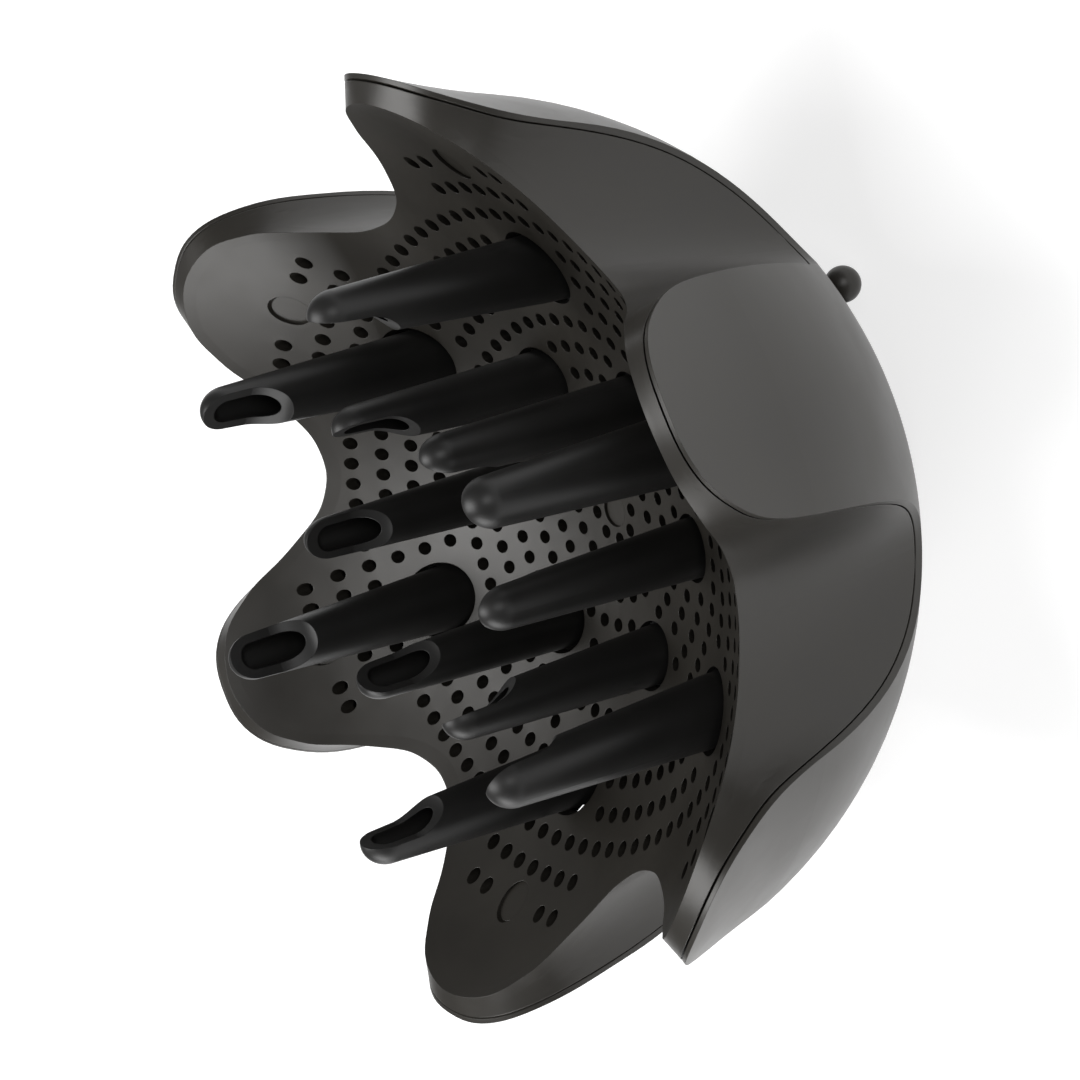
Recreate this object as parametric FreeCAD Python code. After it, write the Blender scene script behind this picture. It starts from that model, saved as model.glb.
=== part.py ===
import FreeCAD, Part
import math
import os

V = FreeCAD.Vector
os.makedirs("parts", exist_ok=True)

# Dryer diffuser. Axis +Z, bowl facing up, standing on the rear rim of the collar.
# Shapes are drawn about a datum plane that cuts the bowl, then lifted by DATUM.
DATUM = 57.2
PETALS = 6
SECTOR = 360.0 / PETALS
ORIGIN = V(0, 0, 0)
AXIS = V(0, 0, 1)
# Cutters and trimmed blanks run this far past the part.
FAR = 40.0

# Bowl: a spherical dish, concave side up.
BOWL_R = 82.0
BOWL_CENTRE = V(0, 0, 65.0)
WALL = 1.8

# Dome of the rear cover: a sphere that flares into the petal tips.
DOME_R = 69.0
DOME_CENTRE_Z = 12.5
FLARE_START_Z = -2.0
FLARE_MID = (70.35, 9.9)
FLARE_END = (74.9, 24.0)

# Half a petal, from the tip (first) to the valley (last).
# Inner rim of the bowl as (angle, radius); parting line as (angle, height).
RIM = [(0, 69.8), (4, 69.4), (8, 68.2), (11, 66.2), (13.5, 64.0),
       (16, 61.1), (19, 58.3), (22.5, 55.6), (26, 54.2), (30, 53.6)]
PARTING = [(0, 21.6), (4.3, 21.0), (8.4, 18.4), (11.6, 13.8), (14, 7.5),
           (15.6, -4), (17.2, -17), (19.9, -27.5), (24.2, -33.6), (30, -35.6)]
PARTING_INSET = 1.1
PARTING_GAP = 0.35
LIP = 2.4
LIP_LEAN = 1.9
SKIRT_ABOVE = 5.0
SKIRT_BEYOND = 4.0
# Heights at which the petal columns close.
TOP_Z = 32.0
CUT_BOTTOM_Z = -40.0
INSIDE_BOTTOM_Z = -75.0
OUTSIDE_BOTTOM_Z = -150.0

# Perforation: ring n lies at n * PITCH with 8 n places on it.
PITCH = 4.545
HOLE_R = 1.05
FULL_RINGS = {1: 14.0, 2: 6.6, 3: 6.3, 7: 0.0, 11: 360.0 / 88 / 2}
PETAL_RINGS = {4: 4, 5: 3, 6: 5, 12: 7}
VALLEY_RINGS = {8: 7, 9: 8, 10: 9}
TIP_RING = 13
TIP_STEPS = (-3, -2, 2, 3)

# Prongs: circle they stand on, hole in the bowl, radii of the outside and of the duct.
OUTER = dict(circle=41.0, turn=0.0, hole=6.1, base=5.4, neck=3.7, bore=4.1,
             throat=2.25, tip=34.4, base_z=-6.0, seat=-13.0, flange=6.6)
INNER = dict(circle=23.4, turn=30.0, hole=5.25, base=4.6, neck=3.3, bore=3.4,
             throat=2.15, tip=25.4, base_z=-13.6, seat=-20.6, flange=5.5)
FLANGE_T = 1.5
SPIGOT_WALL = 0.8
SPIGOT_FIT = 0.05
TIP_H = 4.3
DUCT_TOP_GAP = 1.9
# Outlet of a prong: (distance from the prong's axis, depth below its tip), low end first.
OUTLET = [(5.2, 14.3), (4.2, 14.0), (3.2, 13.3), (2.2, 12.1), (1.2, 10.4), (0.5, 8.0)]
OUTLET_FLAT = 0.15
# Length of the handles with which a cubic curve follows a quarter of an ellipse.
QUARTER = 0.5523

# Carriage and cam.
TRAVEL = 14.0
SWEEP = 60.0
PLATE_T = 2.5
PLATE_EDGE = 6.2
SPOKE_W = 6.0
LINK_W = 5.0
HUB_R = (14.4, 16.4)
HUB_DEPTH = 4.6
CAM_R = (12.0, 14.0)
CAM_Z = (-42.0, -19.4)
CAM_HUB_WALL = 2.2
CAM_HUB_H = 6.0
CAM_PLAY = 0.3
PIN_R = 1.4
PIN_Z = -22.4
PIN_ANGLES = (90.0, 210.0, 330.0)
SLOT_R = 2.05
TRACK_POINTS = 13
WASHER_W = 2.6
CLIP_W = 1.9
CLIP_T = 0.9
CLIP_GAP = 2.6

# Lever: a flat arm on the drum, and a stalk that leaves the dome square to it.
KNOB_ANGLE = 329.0
KNOB_R = 2.9
KNOB_AT = (38.6, -48.6)
ARM_W = 4.4
ARM_T = 2.2
ARM_END = 36.0
STALK_R = 1.5
STALK_LENGTH = 9.3
STUB_R = 1.0
STUB_END = 0.4
STALK_ROOM = 0.6
SLOT_MARGIN = 3.6
SLOT_DEPTH = (1.0, 7.5)

# Centre post, guide posts, screws, caps.
POST_R = 4.0
POST_TOP = -22.4
GUIDE_R = 2.0
GUIDE_CIRCLE = 34.0
GUIDE_Z = (-46.0, -13.0)
GUIDE_FOOT_TOP = -42.0
GUIDE_FOOT_WALL = 1.6
GUIDE_EYE_WALL = 2.3
GUIDE_PLAY = 0.35
GUIDE_ANGLES = (90.0, 270.0)
BOSS_CIRCLE = 59.0
BOSS_TOP = -1.5
BOSS_R = 3.3
SCREW_HEAD_Z = 0.5
PETAL_SCREW = dict(head=2.1, head_h=1.6, shank=1.2, length=11.0)
CENTRE_SCREW = dict(head=2.2, head_h=1.5, shank=1.15, length=12.0)
CENTRE_SEAT = 3.4
HEAD_ROOM = 0.2
SHANK_ROOM = 0.15
CENTRE_BOSS_R = 3.4
CAP_R = 2.6
CAP_WALL = 0.7
CAP_SINK = 0.5
CAP_T = 0.9

# Collar at the back, and the sleeve of the cover that holds it.
COLLAR_R = (22.0, 24.3)
COLLAR_Z = (-57.2, -46.4)
COLLAR_FLANGE = (25.6, 1.0)
STOP = (1.6, 1.2)
SEAL_Z = (-54.5, -52.0)
SEAL_T = 1.2
SLEEVE_R = 26.6
SLEEVE_Z = (-55.2, -43.2)
SPIDER_Z = (-46.2, -43.2)
RIB_W = 2.0
RIB_ANGLES = (30, 150, 270)


def polar(radius, angle, z=0.0):
    a = math.radians(angle)
    return V(radius * math.cos(a), radius * math.sin(a), z)


def turned(shape, angle):
    copy = shape.copy()
    copy.rotate(ORIGIN, AXIS, angle)
    return copy


def tube(outer, inner, z0, z1):
    body = Part.makeCylinder(outer, z1 - z0, V(0, 0, z0))
    return body.cut(Part.makeCylinder(inner, z1 - z0, V(0, 0, z0)))


def rod(radius, angle, circle, z0, z1):
    return Part.makeCylinder(radius, z1 - z0, polar(circle, angle, z0))


def ball(radius, centre=BOWL_CENTRE):
    return Part.makeSphere(radius, centre)


def save(name, shape):
    shape = shape.copy()
    shape.translate(V(0, 0, DATUM))
    shape.exportStep("parts/" + name + ".step")


# ---------------------------------------------------------------- dome profile
def dome_profile(inset):
    """Outer edge of the dome, moved inwards by inset, from the pole upwards."""
    r = DOME_R - inset
    start_r = math.sqrt(DOME_R ** 2 - (FLARE_START_Z - DOME_CENTRE_Z) ** 2)
    lean = math.atan2(FLARE_START_Z - DOME_CENTRE_Z, start_r)
    start = V(r * math.cos(lean), 0, DOME_CENTRE_Z + r * math.sin(lean))
    low = V(r * math.cos(math.radians(-45)), 0, DOME_CENTRE_Z + r * math.sin(math.radians(-45)))
    pole = V(0, 0, DOME_CENTRE_Z - r)
    mid = V(FLARE_MID[0] - inset, 0, FLARE_MID[1])
    end = V(FLARE_END[0] - inset, 0, FLARE_END[1])
    return pole, low, start, mid, end


def dome_solid(inset):
    pole, low, start, mid, end = dome_profile(inset)
    top = V(0, 0, end.z)
    wire = Part.Wire([Part.Arc(pole, low, start).toShape(),
                      Part.Arc(start, mid, end).toShape(),
                      Part.makeLine(end, top), Part.makeLine(top, pole)])
    return Part.Face(wire).revolve(ORIGIN, AXIS, 360)


def dome_radius(z, inset):
    """Radius of the dome surface at height z."""
    pole, low, start, mid, end = dome_profile(inset)
    if z <= start.z:
        return math.sqrt((DOME_R - inset) ** 2 - (z - DOME_CENTRE_Z) ** 2)
    flare = Part.Arc(start, mid, end).toShape().Curve
    return flare.Center.x - math.sqrt(flare.Radius ** 2 - (z - flare.Center.z) ** 2)


# ---------------------------------------------------------------- petal column
def mirrored(half):
    """Full sector from valley to valley, given the half from tip to valley."""
    other = [V(p.x, -p.y, p.z) for p in half[:0:-1]]
    return other + half


def rim_points():
    half = []
    for angle, radius in RIM:
        z = BOWL_CENTRE.z - math.sqrt(BOWL_R ** 2 - radius ** 2)
        half.append(polar(radius, angle, z))
    return mirrored(half)


def parting_points():
    half = [polar(dome_radius(z, PARTING_INSET), angle, z) for angle, z in PARTING]
    return mirrored(half)


def frames(rim, parting):
    """For each pair of points: direction down the skirt, and square to it inwards."""
    mids = [a.add(b).multiply(0.5) for a, b in zip(rim, parting)]
    before = FreeCAD.Rotation(AXIS, -SECTOR).multVec(mids[-2])
    after = FreeCAD.Rotation(AXIS, SECTOR).multVec(mids[1])
    mids = [before] + mids + [after]
    result = []
    for i, (upper, lower) in enumerate(zip(rim, parting)):
        down = lower.sub(upper).normalize()
        inwards = mids[i + 2].sub(mids[i]).cross(down).normalize()
        result.append((down, inwards))
    return result


def moved(points, skirt, down=0.0, inwards=0.0):
    """Points moved down the skirt and square to it."""
    result = []
    for point, (low, across) in zip(points, skirt):
        step = V(low).multiply(down).add(V(across).multiply(inwards))
        result.append(point.add(step))
    return result


def small_ring(z, count, radius=2.0):
    step = SECTOR / (count - 1)
    return [polar(radius, -SECTOR / 2 + i * step, z) for i in range(count)]


def sector_edge(points):
    """Smooth edge over one sector, square to the valley planes at both ends."""
    curve = Part.BSplineCurve()
    places = [float(i) for i in range(len(points))]
    first = polar(1, 90 - SECTOR / 2).multiply(points[1].sub(points[0]).Length)
    last = polar(1, 90 + SECTOR / 2).multiply(points[-1].sub(points[-2]).Length)
    curve.interpolate(Points=points, Parameters=places, InitialTangent=first,
                      FinalTangent=last, Scale=False)
    return curve.toShape()


def stitched(faces):
    shell = Part.Shell(faces)
    shell.sewShape()
    solid = Part.Solid(shell)
    if solid.Volume < 0:
        solid.reverse()
    return solid


def all_round(low, high):
    face = Part.makeRuledSurface(low, high)
    return [turned(face, SECTOR * i) for i in range(PETALS)]


def column(rings):
    """Closed solid through a stack of sector curves, ending in small flat rings."""
    edges = [sector_edge(points) for points in rings]
    faces = []
    for low, high in zip(edges[:-1], edges[1:]):
        faces += all_round(low, high)
    for edge in (edges[0], edges[-1]):
        wire = Part.Wire([turned(edge, SECTOR * i) for i in range(PETALS)])
        faces.append(Part.Face(wire))
    return stitched(faces)


def band(rings):
    """Closed solid ring whose section joins the given sector curves."""
    edges = [sector_edge(points) for points in rings]
    faces = []
    for low, high in zip(edges, edges[1:] + edges[:1]):
        faces += all_round(low, high)
    return stitched(faces)


def petal_solids():
    """Solids shared by the bowl and the rear cover.

    inside: everything within the skirt, from above the dish to the parting line.
    skirt: the skirt wall itself.
    parting_cut: what the cover gives way to.
    outside: everything within the skirt carried on past the dome.
    """
    rim = rim_points()
    parting = parting_points()
    count = len(rim)
    frame = frames(rim, parting)
    top = small_ring(TOP_Z, count)
    above = moved(rim, frame, down=-SKIRT_ABOVE)
    lip = moved(parting, frame, down=-LIP_LEAN, inwards=LIP)
    inside = column([top, above, parting, lip, small_ring(INSIDE_BOTTOM_Z, count)])

    inner_lip = moved(parting, frame, down=-LIP_LEAN * WALL / LIP, inwards=WALL)
    inner_above = moved(rim, frame, down=-SKIRT_ABOVE, inwards=WALL)
    skirt = band([above, parting, inner_lip, inner_above])

    clear_above = moved(rim, frame, down=-SKIRT_ABOVE, inwards=-LIP)
    clear_lip = moved(parting, frame, down=PARTING_GAP + LIP_LEAN, inwards=-LIP)
    lowered_lip = moved(parting, frame, down=PARTING_GAP - LIP_LEAN, inwards=LIP)
    cut_bottom = small_ring(CUT_BOTTOM_Z, count)
    parting_cut = column([top, clear_above, clear_lip, lowered_lip, cut_bottom])

    beyond = moved(parting, frame, down=SKIRT_BEYOND)
    dropped = [p.sub(V(0, 0, 2 * FAR)) for p in beyond]
    outside_bottom = small_ring(OUTSIDE_BOTTOM_Z, count)
    outside = column([top, above, beyond, dropped, outside_bottom])
    return inside, skirt, parting_cut, outside


# ---------------------------------------------------------------- perforation
def centred(count):
    return [i - (count - 1) / 2.0 for i in range(count)]


def ring_angles(ring):
    step = 360.0 / (8 * ring)
    if ring in FULL_RINGS:
        return [FULL_RINGS[ring] + step * i for i in range(8 * ring)]
    if ring in PETAL_RINGS:
        middle, steps = 0.0, centred(PETAL_RINGS[ring])
    elif ring in VALLEY_RINGS:
        middle, steps = SECTOR / 2, centred(VALLEY_RINGS[ring])
    else:
        middle, steps = 0.0, TIP_STEPS
    return [middle + SECTOR * i + step * s for i in range(PETALS) for s in steps]


def perforation():
    pins = []
    for ring in range(1, TIP_RING + 1):
        radius = ring * PITCH
        dish = BOWL_CENTRE.z - math.sqrt(BOWL_R ** 2 - radius ** 2)
        for angle in ring_angles(ring):
            pins.append(rod(HOLE_R, angle, radius, dish - 3 * WALL, dish + 3 * WALL))
    return pins


# ---------------------------------------------------------------- shells
def each_petal(make):
    return [make(SECTOR * i) for i in range(PETALS)]


def pocket(angle):
    """Pocket for a screw cap: follows the dish, sunk below its surface."""
    bore = rod(CAP_R, angle, BOSS_CIRCLE, -FAR, FAR)
    return bore.common(ball(BOWL_R + CAP_SINK + CAP_T))


def front_bowl(inside, skirt):
    dish = ball(BOWL_R + WALL).cut(ball(BOWL_R)).common(inside)
    holes = perforation()
    for prong_kind in (OUTER, INNER):
        for i in range(PETALS):
            angle = prong_kind["turn"] + SECTOR * i
            holes.append(rod(prong_kind["hole"], angle, prong_kind["circle"], -FAR, FAR))
    dish = dish.cut(Part.makeCompound(holes))
    shell = dish.fuse(skirt.cut(ball(BOWL_R)))
    bosses = each_petal(lambda a: rod(CAP_R + CAP_WALL, a, BOSS_CIRCLE, BOSS_TOP, FAR))
    bosses.append(Part.makeCylinder(CENTRE_BOSS_R, FAR, V(0, 0, POST_TOP)))
    shell = shell.fuse([boss.cut(ball(BOWL_R)) for boss in bosses])
    head = PETAL_SCREW["head"] + HEAD_ROOM
    shank = PETAL_SCREW["shank"] + SHANK_ROOM
    cuts = each_petal(pocket)
    cuts += each_petal(lambda a: rod(head, a, BOSS_CIRCLE, SCREW_HEAD_Z, FAR))
    cuts += each_petal(lambda a: rod(shank, a, BOSS_CIRCLE, BOSS_TOP - 1, FAR))
    pole = BOWL_CENTRE.z - BOWL_R
    cuts.append(Part.makeCylinder(CAP_R, FAR, V(0, 0, pole - CAP_SINK - CAP_T)))
    cuts.append(Part.makeCylinder(CENTRE_SCREW["head"] + HEAD_ROOM, FAR,
                                  V(0, 0, pole - CENTRE_SEAT)))
    cuts.append(Part.makeCylinder(CENTRE_SCREW["shank"] + SHANK_ROOM, FAR,
                                  V(0, 0, POST_TOP - 1)))
    return shell.cut(cuts)


def dome_shell(outside, parting_cut):
    wall = dome_solid(0).cut(dome_solid(WALL))
    return wall.common(outside).cut(parting_cut)


def rear_cover(outside, parting_cut):
    shell = dome_shell(outside, parting_cut)
    opening = Part.makeCylinder(SLEEVE_R - 1, FAR, V(0, 0, -2 * FAR))
    shell = shell.cut(opening)
    sleeve = tube(SLEEVE_R, COLLAR_R[1], *SLEEVE_Z)
    low, high = SPIDER_Z
    spider = Part.makeCylinder(POST_R, POST_TOP - low, V(0, 0, low))
    for angle in RIB_ANGLES:
        rib = Part.makeBox(SLEEVE_R - 1, RIB_W, high - low, V(0, -RIB_W / 2, low))
        spider = spider.fuse(turned(rib, angle))
    inside = dome_solid(WALL / 2)
    bosses = each_petal(lambda a: rod(BOSS_R, a, BOSS_CIRCLE, -FAR, BOSS_TOP).common(inside))
    foot_r = GUIDE_R + GUIDE_FOOT_WALL
    feet = [rod(foot_r, a, GUIDE_CIRCLE, -2 * FAR, GUIDE_FOOT_TOP).common(inside)
            for a in GUIDE_ANGLES]
    shell = shell.fuse([sleeve, spider] + bosses + feet)
    shank = PETAL_SCREW["shank"]
    low = BOSS_TOP - PETAL_SCREW["length"]
    cuts = each_petal(lambda a: rod(shank, a, BOSS_CIRCLE, low, BOSS_TOP + 1))
    cuts += [rod(GUIDE_R, a, GUIDE_CIRCLE, *GUIDE_Z) for a in GUIDE_ANGLES]
    low = POST_TOP - CENTRE_SCREW["length"]
    cuts.append(Part.makeCylinder(CENTRE_SCREW["shank"], FAR, V(0, 0, low)))
    cuts.append(lever_slot())
    return shell.cut(cuts)


# ---------------------------------------------------------------- fastenings
def petal_caps():
    """Discs that follow the dish, sunk below its surface."""
    above = ball(BOWL_R + CAP_SINK)
    return Part.makeCompound(each_petal(lambda a: pocket(a).cut(above)))


def centre_cap():
    pole = BOWL_CENTRE.z - BOWL_R
    return Part.makeCylinder(CAP_R, CAP_T, V(0, 0, pole - CAP_SINK - CAP_T))


def screw(kind, seat):
    """Cross-head screw pointing down, with the underside of its head at seat."""
    head = Part.makeCylinder(kind["head"], kind["head_h"], V(0, 0, seat))
    length = kind["length"]
    shank = Part.makeCylinder(kind["shank"], length, V(0, 0, seat - length))
    body = head.fuse(shank)
    long, short = kind["head"] * 1.2, kind["head"] * 0.3
    for x, y in ((long, short), (short, long)):
        corner = V(-x / 2, -y / 2, seat + kind["head_h"] * 0.4)
        body = body.cut(Part.makeBox(x, y, kind["head_h"], corner))
    return body


def petal_screws():
    one = screw(PETAL_SCREW, SCREW_HEAD_Z)
    one.translate(V(BOSS_CIRCLE, 0, 0))
    return Part.makeCompound(each_petal(lambda a: turned(one, a)))


def centre_screw():
    return screw(CENTRE_SCREW, BOWL_CENTRE.z - BOWL_R - CENTRE_SEAT)


def guide_posts():
    return Part.makeCompound([rod(GUIDE_R, a, GUIDE_CIRCLE, *GUIDE_Z) for a in GUIDE_ANGLES])


# ---------------------------------------------------------------- prongs
def rounded_cone(z0, r0, z1, r1, z2):
    """Cone from z0 to z1 whose end is half an ellipsoid reaching z2."""
    start = V(r0, 0, z0)
    neck = V(r1, 0, z1)
    tip = V(0, 0, z2)
    end = Part.BezierCurve()
    end.setPoles([neck, V(r1, 0, z1 + QUARTER * (z2 - z1)), V(QUARTER * r1, 0, z2), tip])
    wire = Part.Wire([Part.makeLine(V(0, 0, z0), start), Part.makeLine(start, neck),
                      end.toShape(), Part.makeLine(tip, V(0, 0, z0))])
    return Part.Face(wire).revolve(ORIGIN, AXIS, 360)


def outlet_cut(tip):
    """Cutter that opens the inner side of the tip, starting in an S-shaped step."""
    step = [V(-out, 0, tip - depth) for out, depth in OUTLET]
    curve = Part.BSplineCurve()
    curve.interpolate(step)
    clear = 9.0
    corners = [step[-1], V(-OUTLET_FLAT, 0, tip + 3), V(-clear, 0, tip + 3),
               V(-clear, 0, step[0].z), step[0]]
    sides = [Part.makeLine(p, q) for p, q in zip(corners[:-1], corners[1:])]
    face = Part.Face(Part.Wire([curve.toShape()] + sides))
    face.translate(V(0, -clear, 0))
    return face.extrude(V(0, 2 * clear, 0))


def prong(kind):
    """Hollow finger on the axis, its outlet on the -X side."""
    tip = kind["tip"]
    low = kind["seat"] - PLATE_T
    outside = rounded_cone(kind["base_z"], kind["base"], tip - TIP_H, kind["neck"], tip)
    stem = Part.makeCylinder(kind["base"], kind["base_z"] - kind["seat"],
                             V(0, 0, kind["seat"]))
    flange = Part.makeCylinder(kind["flange"], FLANGE_T, V(0, 0, kind["seat"]))
    spigot = Part.makeCylinder(kind["bore"] + SPIGOT_WALL, PLATE_T, V(0, 0, low))
    body = outside.fuse([stem, flange, spigot]).removeSplitter()
    duct_top = tip - DUCT_TOP_GAP
    duct = rounded_cone(low - 1, kind["bore"], duct_top - kind["throat"], kind["throat"],
                        duct_top)
    return body.cut([duct, outlet_cut(tip)])


def placed_prong(kind, index):
    body = prong(kind)
    body.translate(V(kind["circle"], 0, 0))
    return turned(body, kind["turn"] + SECTOR * index)


# ---------------------------------------------------------------- carriage
def carrier_spoke():
    """Sloping spoke along +X from the inner ring of prongs to one outer prong."""
    inner_top = INNER["seat"]
    outer_top = OUTER["seat"]
    r0 = INNER["circle"] + 2.0
    r1 = OUTER["circle"] - 4.0
    outline = [(r0, inner_top), (r0 + 3, inner_top), (r1, outer_top), (r1 + 3, outer_top),
               (r1 + 3, outer_top - PLATE_T), (r1 + 1, outer_top - PLATE_T),
               (r0 + 4, inner_top - PLATE_T), (r0, inner_top - PLATE_T)]
    points = [V(r, -SPOKE_W / 2, z) for r, z in outline]
    return Part.Face(Part.makePolygon(points + points[:1])).extrude(V(0, SPOKE_W, 0))


def prong_carrier():
    """Dished plate that holds every prong, open between its spokes for the air."""
    inner_top = INNER["seat"]
    outer_top = OUTER["seat"]
    ring_edge = INNER["circle"] + PLATE_EDGE
    plate = tube(ring_edge, HUB_R[0], inner_top - PLATE_T, inner_top)
    pieces = [tube(HUB_R[1], HUB_R[0], inner_top - HUB_DEPTH, inner_top)]
    spoke = carrier_spoke()
    for i in range(PETALS):
        angle = OUTER["turn"] + SECTOR * i
        pieces.append(rod(OUTER["flange"] + 0.4, angle, OUTER["circle"],
                          outer_top - PLATE_T, outer_top))
        pieces.append(turned(spoke, angle))
    for angle in GUIDE_ANGLES:
        pieces.append(rod(GUIDE_R + GUIDE_EYE_WALL, angle, GUIDE_CIRCLE,
                          inner_top - PLATE_T, inner_top))
        start = ring_edge - 2.2
        link = Part.makeBox(GUIDE_CIRCLE - 3 - start, LINK_W, PLATE_T,
                            V(start, -LINK_W / 2, inner_top - PLATE_T))
        pieces.append(turned(link, angle))
    body = plate.fuse(pieces).removeSplitter()
    cuts = []
    for kind in (OUTER, INNER):
        for i in range(PETALS):
            cuts.append(rod(kind["bore"] + SPIGOT_WALL + SPIGOT_FIT,
                            kind["turn"] + SECTOR * i, kind["circle"], -FAR, FAR))
    cuts += [rod(GUIDE_R + GUIDE_PLAY, a, GUIDE_CIRCLE, -FAR, FAR) for a in GUIDE_ANGLES]
    cuts += [radial_pin(PIN_R, a, PIN_Z, HUB_R[0] - 1, HUB_R[1] + 1) for a in PIN_ANGLES]
    return body.cut(cuts)


def radial_pin(radius, angle, z, r0, r1):
    return Part.makeCylinder(radius, r1 - r0, polar(r0, angle, z), polar(1, angle))


def follower_pins():
    """Pins in the carrier's hub that reach into the cam's tracks."""
    start = CAM_R[0] + 0.3
    return Part.makeCompound([radial_pin(PIN_R, a, PIN_Z, start, HUB_R[1])
                              for a in PIN_ANGLES])


# ---------------------------------------------------------------- cam and lever
def cam_track(angle):
    """Helical track: the pin drops by TRAVEL as the drum turns through SWEEP."""
    middle = (CAM_R[0] + CAM_R[1]) / 2
    path = []
    for i in range(TRACK_POINTS):
        t = i / (TRACK_POINTS - 1)
        path.append(polar(middle, angle - SWEEP * t, PIN_Z - TRAVEL * t))
    curve = Part.BSplineCurve()
    curve.interpolate(path)
    spine = Part.Wire([curve.toShape()])
    section = Part.Wire([Part.makeCircle(SLOT_R, path[0], curve.tangent(0)[0])])
    sweep = spine.makePipeShell([section], True, True)
    ends = [radial_pin(PIN_R + 0.4, angle - SWEEP * t, PIN_Z - TRAVEL * t,
                       CAM_R[0] - 2, CAM_R[1] + 2) for t in (0, 1)]
    return [sweep] + ends


def on_stalk(depth, across=0.0):
    """Point on the lever's stalk: inwards from the knob's centre, square to the dome."""
    centre = V(KNOB_AT[0], 0, KNOB_AT[1])
    out = V(KNOB_AT[0], 0, KNOB_AT[1] - DOME_CENTRE_Z).normalize()
    side = V(-out.z, 0, out.x)
    return centre.sub(out.multiply(depth)).add(side.multiply(across))


def stalk(radius, near, far):
    start = on_stalk(near)
    return Part.makeCylinder(radius, far - near, start, on_stalk(far).sub(start))


def lever_slot():
    """Curved slot in the dome that lets the lever swing."""
    near, far = SLOT_DEPTH
    half = STALK_R + STALK_ROOM
    corners = [on_stalk(near, -half), on_stalk(far, -half), on_stalk(far, half),
               on_stalk(near, half), on_stalk(near, -half)]
    face = Part.Face(Part.makePolygon(corners))
    swept = face.revolve(ORIGIN, AXIS, SWEEP + 2 * SLOT_MARGIN)
    return turned(swept, KNOB_ANGLE - SLOT_MARGIN)


def cam_drum():
    low, high = CAM_Z
    drum = tube(CAM_R[1], CAM_R[0], low, high)
    middle = (CAM_R[0] + CAM_R[1]) / 2
    pieces = [Part.makeCylinder(POST_R + CAM_HUB_WALL, CAM_HUB_H, V(0, 0, low))]
    corner = V(0, -ARM_W / 2, low)
    spoke = Part.makeBox(middle, ARM_W, ARM_T, corner)
    for i in range(3):
        pieces.append(turned(spoke, KNOB_ANGLE + 120 * i))
    arm = Part.makeBox(ARM_END - middle, ARM_W, ARM_T, V(middle, -ARM_W / 2, low))
    for piece in (arm, stalk(STALK_R, KNOB_R, STALK_LENGTH),
                  stalk(STUB_R, STUB_END, KNOB_R + 1)):
        pieces.append(turned(piece, KNOB_ANGLE))
    body = drum.fuse(pieces).removeSplitter()
    body = body.cut(Part.makeCylinder(POST_R + CAM_PLAY, 2 * FAR, V(0, 0, -2 * FAR)))
    for angle in PIN_ANGLES:
        for cutter in cam_track(angle):
            body = body.cut(cutter)
    return body


def thrust_washer():
    return tube(POST_R + WASHER_W, POST_R, SPIDER_Z[1], CAM_Z[0] - CAM_PLAY)


def cam_clip():
    """Split ring that keeps the cam drum down on its washer."""
    low = CAM_Z[0] + CAM_HUB_H + CAM_PLAY
    ring = tube(POST_R + CLIP_W, POST_R, low, low + CLIP_T)
    return ring.cut(Part.makeBox(8, CLIP_GAP, 3, V(0, -CLIP_GAP / 2, low - 1)))


def lever_knob():
    """Ball that caps the lever where it comes out of the dome."""
    body = Part.makeSphere(KNOB_R, on_stalk(0)).cut(stalk(STUB_R, STUB_END, KNOB_R + 1))
    return turned(body, KNOB_ANGLE)


# ---------------------------------------------------------------- collar
def dryer_collar():
    """Round socket that pushes over the dryer's outlet."""
    inner, outer = COLLAR_R
    low, high = COLLAR_Z
    flange_r, flange_t = COLLAR_FLANGE
    stop_w, stop_t = STOP
    flange = tube(flange_r, inner, SLEEVE_Z[0] - flange_t, SLEEVE_Z[0])
    stop = tube(outer, inner - stop_w, high - stop_t, high)
    body = tube(outer, inner, low, high).fuse([flange, stop]).removeSplitter()
    return body.cut(tube(inner + SEAL_T, inner - 1, *SEAL_Z))


def collar_seal():
    return tube(COLLAR_R[0] + SEAL_T, COLLAR_R[0], *SEAL_Z)


def main():
    inside, skirt, parting_cut, outside = petal_solids()
    save("front_bowl", front_bowl(inside, skirt))
    save("rear_cover", rear_cover(outside, parting_cut))
    save("petal_caps", petal_caps())
    save("petal_screws", petal_screws())
    save("centre_cap", centre_cap())
    save("centre_screw", centre_screw())
    save("guide_posts", guide_posts())
    for i in range(PETALS):
        save("outer_prong_%d" % (i + 1), placed_prong(OUTER, i))
        save("inner_prong_%d" % (i + 1), placed_prong(INNER, i))
    save("prong_carrier", prong_carrier())
    save("follower_pins", follower_pins())
    save("cam_drum", cam_drum())
    save("lever_knob", lever_knob())
    save("thrust_washer", thrust_washer())
    save("cam_clip", cam_clip())
    save("dryer_collar", dryer_collar())
    save("collar_seal", collar_seal())


main()
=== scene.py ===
import bpy
from mathutils import Matrix, Vector


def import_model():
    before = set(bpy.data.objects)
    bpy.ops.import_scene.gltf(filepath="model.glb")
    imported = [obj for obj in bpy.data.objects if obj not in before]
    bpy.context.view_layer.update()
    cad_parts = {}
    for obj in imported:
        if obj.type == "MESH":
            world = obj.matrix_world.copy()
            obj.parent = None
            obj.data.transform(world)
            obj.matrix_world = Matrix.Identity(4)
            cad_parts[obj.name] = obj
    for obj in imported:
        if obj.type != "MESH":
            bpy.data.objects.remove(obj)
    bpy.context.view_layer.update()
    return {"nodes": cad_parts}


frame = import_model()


# The lights aim at the middle of the bowl's floor, on the axis.
MIDDLE = Vector((0, 0, 0.0572))

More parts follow.
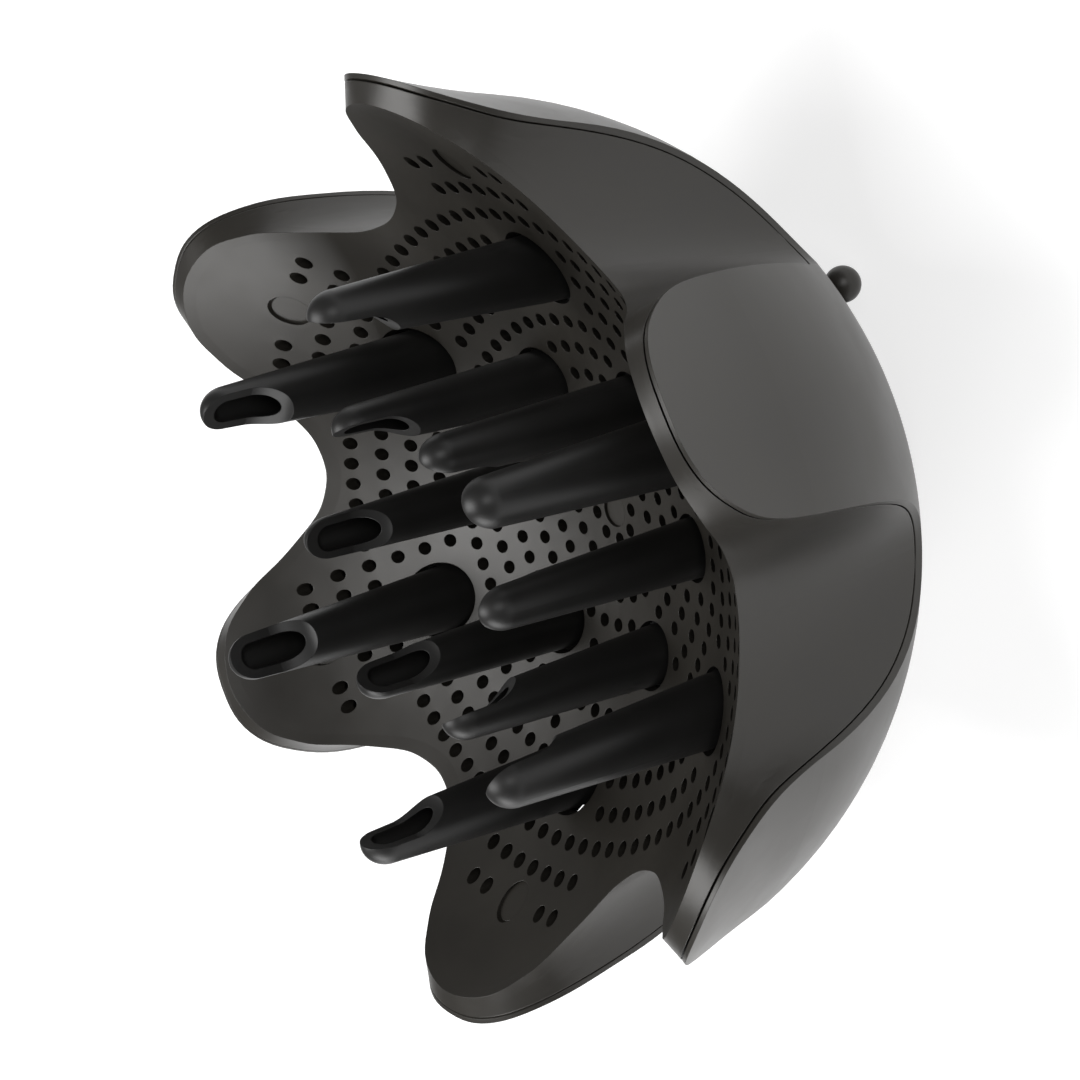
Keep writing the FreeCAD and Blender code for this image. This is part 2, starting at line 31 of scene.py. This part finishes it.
# Moulded grain: relief height and the range of the noise that is used.
GRAIN_HEIGHT = 0.00004
NOISE_LOW = 0.3
NOISE_HIGH = 0.7
FINE_DETAIL = 3.0
BROAD_DETAIL = 4.0
# Rounding shown on sharp edges.
EDGE_RADIUS = 0.00015
EDGE_SAMPLES = 4

FLOOR_HALF = 6.0
FLOOR_GREY = 0.50
FLOOR_GLOW = 0.72
WORLD_GLOW = 0.16
# Area lights: place, width and height, power in watts.
LIGHTS = {
    "key_light": ((-0.02, 0.19, 0.95), (0.55, 0.8), 9.0),
    "front_light": ((0.55, -0.85, 0.55), (0.5, 0.5), 3.0),
    "side_light": ((-0.80, -0.10, 0.35), (0.4, 0.6), 5.0),
}

# The camera's place and its right, up and back axes.
CAMERA_PLACE = Vector((0.12825, -0.32258, 0.27991))
CAMERA_RIGHT = Vector((-0.0713291, -0.58987006, -0.80434164))
CAMERA_UP = Vector((0.94724849, 0.21255219, -0.23987886))
CAMERA_BACK = Vector((0.31246194, -0.77902174, 0.54359237))
SENSOR_MM = 36.0
LENS_MM = 89.65633
CLIP_START = 0.01


def add_object(name, data):
    """New object in the scene's own collection."""
    obj = bpy.data.objects.new(name, data)
    bpy.context.scene.collection.objects.link(obj)
    return obj


# ---------------------------------------------------------------- materials
def empty_material(name):
    """Material with no nodes yet, and its node tree."""
    material = bpy.data.materials.new(name)
    material.use_nodes = True
    material.node_tree.nodes.clear()
    return material, material.node_tree


def node(tree, kind, inputs=None, **values):
    """New node of one kind, with its input values and its own settings."""
    made = tree.nodes.new(kind)
    for key, value in values.items():
        setattr(made, key, value)
    for key, value in (inputs or {}).items():
        made.inputs[key].default_value = value
    return made


def surface(name, base, shade, rough, metallic=0.0, grain=1400.0, bump=0.05,
            mottle=90.0, specular=0.5):
    """Moulded or metal finish: fine grain, faint mottling and uneven gloss."""
    material, tree = empty_material(name)
    out = node(tree, "ShaderNodeOutputMaterial")
    shader = node(tree, "ShaderNodeBsdfPrincipled",
                  {"Metallic": metallic, "Specular IOR Level": specular})
    place = node(tree, "ShaderNodeTexCoord")
    fine = node(tree, "ShaderNodeTexNoise", {"Scale": grain, "Detail": FINE_DETAIL})
    broad = node(tree, "ShaderNodeTexNoise", {"Scale": mottle, "Detail": BROAD_DETAIL})
    colour = node(tree, "ShaderNodeValToRGB")
    low, high = colour.color_ramp.elements
    low.position = NOISE_LOW
    low.color = (*shade, 1)
    high.position = NOISE_HIGH
    high.color = (*base, 1)
    gloss = node(tree, "ShaderNodeMapRange",
                 {"From Min": NOISE_LOW, "From Max": NOISE_HIGH,
                  "To Min": rough[0], "To Max": rough[1]})
    relief = node(tree, "ShaderNodeBump", {"Strength": bump, "Distance": GRAIN_HEIGHT})
    edge = node(tree, "ShaderNodeBevel", {"Radius": EDGE_RADIUS}, samples=EDGE_SAMPLES)
    for start, end in (
            (place.outputs["Object"], fine.inputs["Vector"]),
            (place.outputs["Object"], broad.inputs["Vector"]),
            (broad.outputs["Fac"], colour.inputs["Fac"]),
            (broad.outputs["Fac"], gloss.inputs["Value"]),
            (fine.outputs["Fac"], relief.inputs["Height"]),
            (colour.outputs["Color"], shader.inputs["Base Color"]),
            (gloss.outputs["Result"], shader.inputs["Roughness"]),
            (edge.outputs["Normal"], relief.inputs["Normal"]),
            (relief.outputs["Normal"], shader.inputs["Normal"]),
            (shader.outputs["BSDF"], out.inputs["Surface"])):
        tree.links.new(start, end)
    return material


GRAPHITE = surface("graphite", (0.024, 0.0215, 0.0175), (0.020, 0.018, 0.0150),
                   rough=(0.36, 0.42), metallic=0.12)
DARK = surface("prong_dark", (0.013, 0.0125, 0.012), (0.010, 0.0098, 0.0095),
               rough=(0.40, 0.48), specular=0.4)
INNER = surface("inner_plastic", (0.024, 0.024, 0.025), (0.019, 0.019, 0.020),
                rough=(0.45, 0.55))
COLLAR = surface("collar_plastic", (0.030, 0.028, 0.026), (0.025, 0.023, 0.022),
                 rough=(0.36, 0.46))
RUBBER = surface("seal_rubber", (0.012, 0.012, 0.012), (0.008, 0.008, 0.008),
                 rough=(0.7, 0.85), bump=0.2)
STEEL = surface("steel", (0.62, 0.62, 0.64), (0.52, 0.52, 0.54), rough=(0.22, 0.34),
                metallic=1.0, grain=2600.0, bump=0.12)

# Finish of each node; the twelve prongs take the dark one.
FINISH = {
    "front_bowl": GRAPHITE, "rear_cover": GRAPHITE, "petal_caps": GRAPHITE,
    "centre_cap": GRAPHITE, "lever_knob": GRAPHITE, "prong_carrier": INNER,
    "cam_drum": INNER, "dryer_collar": COLLAR, "collar_seal": RUBBER,
    "petal_screws": STEEL, "centre_screw": STEEL, "guide_posts": STEEL,
    "thrust_washer": STEEL, "cam_clip": STEEL, "follower_pins": STEEL,
}


def dress_nodes():
    """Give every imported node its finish."""
    for name, obj in frame["nodes"].items():
        obj.data.materials.clear()
        obj.data.materials.append(FINISH.get(name, DARK))


# ---------------------------------------------------------------- studio
def floor_material():
    """Pale floor that also glows a little, so that it stays white."""
    material, tree = empty_material("floor_pale")
    grey = (FLOOR_GREY, FLOOR_GREY, FLOOR_GREY, 1)
    out = node(tree, "ShaderNodeOutputMaterial")
    diffuse = node(tree, "ShaderNodeBsdfDiffuse", {"Color": grey})
    light = node(tree, "ShaderNodeEmission",
                 {"Color": (1, 1, 1, 1), "Strength": FLOOR_GLOW})
    both = node(tree, "ShaderNodeAddShader")
    tree.links.new(diffuse.outputs[0], both.inputs[0])
    tree.links.new(light.outputs[0], both.inputs[1])
    tree.links.new(both.outputs[0], out.inputs["Surface"])
    return material


def floor():
    """Plain square floor under the collar's rear rim."""
    mesh = bpy.data.meshes.new("floor")
    corners = [(-FLOOR_HALF, -FLOOR_HALF, 0), (FLOOR_HALF, -FLOOR_HALF, 0),
               (FLOOR_HALF, FLOOR_HALF, 0), (-FLOOR_HALF, FLOOR_HALF, 0)]
    mesh.from_pydata(corners, [], [(0, 1, 2, 3)])
    obj = add_object("floor", mesh)
    obj.data.materials.append(floor_material())


def panel(name, place, size, power):
    """Rectangular soft light aimed at the middle of the bowl."""
    light = bpy.data.lights.new(name, "AREA")
    light.shape = "RECTANGLE"
    light.size, light.size_y = size
    light.energy = power
    obj = add_object(name, light)
    obj.location = place
    obj.rotation_euler = (MIDDLE - Vector(place)).to_track_quat("-Z", "Y").to_euler()


def world():
    """Even white surroundings."""
    scene_world = bpy.data.worlds.new("studio")
    scene_world.use_nodes = True
    back = scene_world.node_tree.nodes["Background"]
    back.inputs["Color"].default_value = (1, 1, 1, 1)
    back.inputs["Strength"].default_value = WORLD_GLOW
    bpy.context.scene.world = scene_world


def camera():
    """Camera that looks into the bowl from one side, with the petals' axis lying over."""
    data = bpy.data.cameras.new("camera")
    data.sensor_width = SENSOR_MM
    data.lens = LENS_MM
    data.clip_start = CLIP_START
    obj = add_object("camera", data)
    turn = Matrix((CAMERA_RIGHT, CAMERA_UP, CAMERA_BACK)).transposed().to_4x4()
    obj.matrix_world = Matrix.Translation(CAMERA_PLACE) @ turn
    bpy.context.scene.camera = obj
    bpy.context.scene.view_settings.view_transform = "Standard"


dress_nodes()
floor()
world()
for light_name, settings in LIGHTS.items():
    panel(light_name, *settings)
camera()
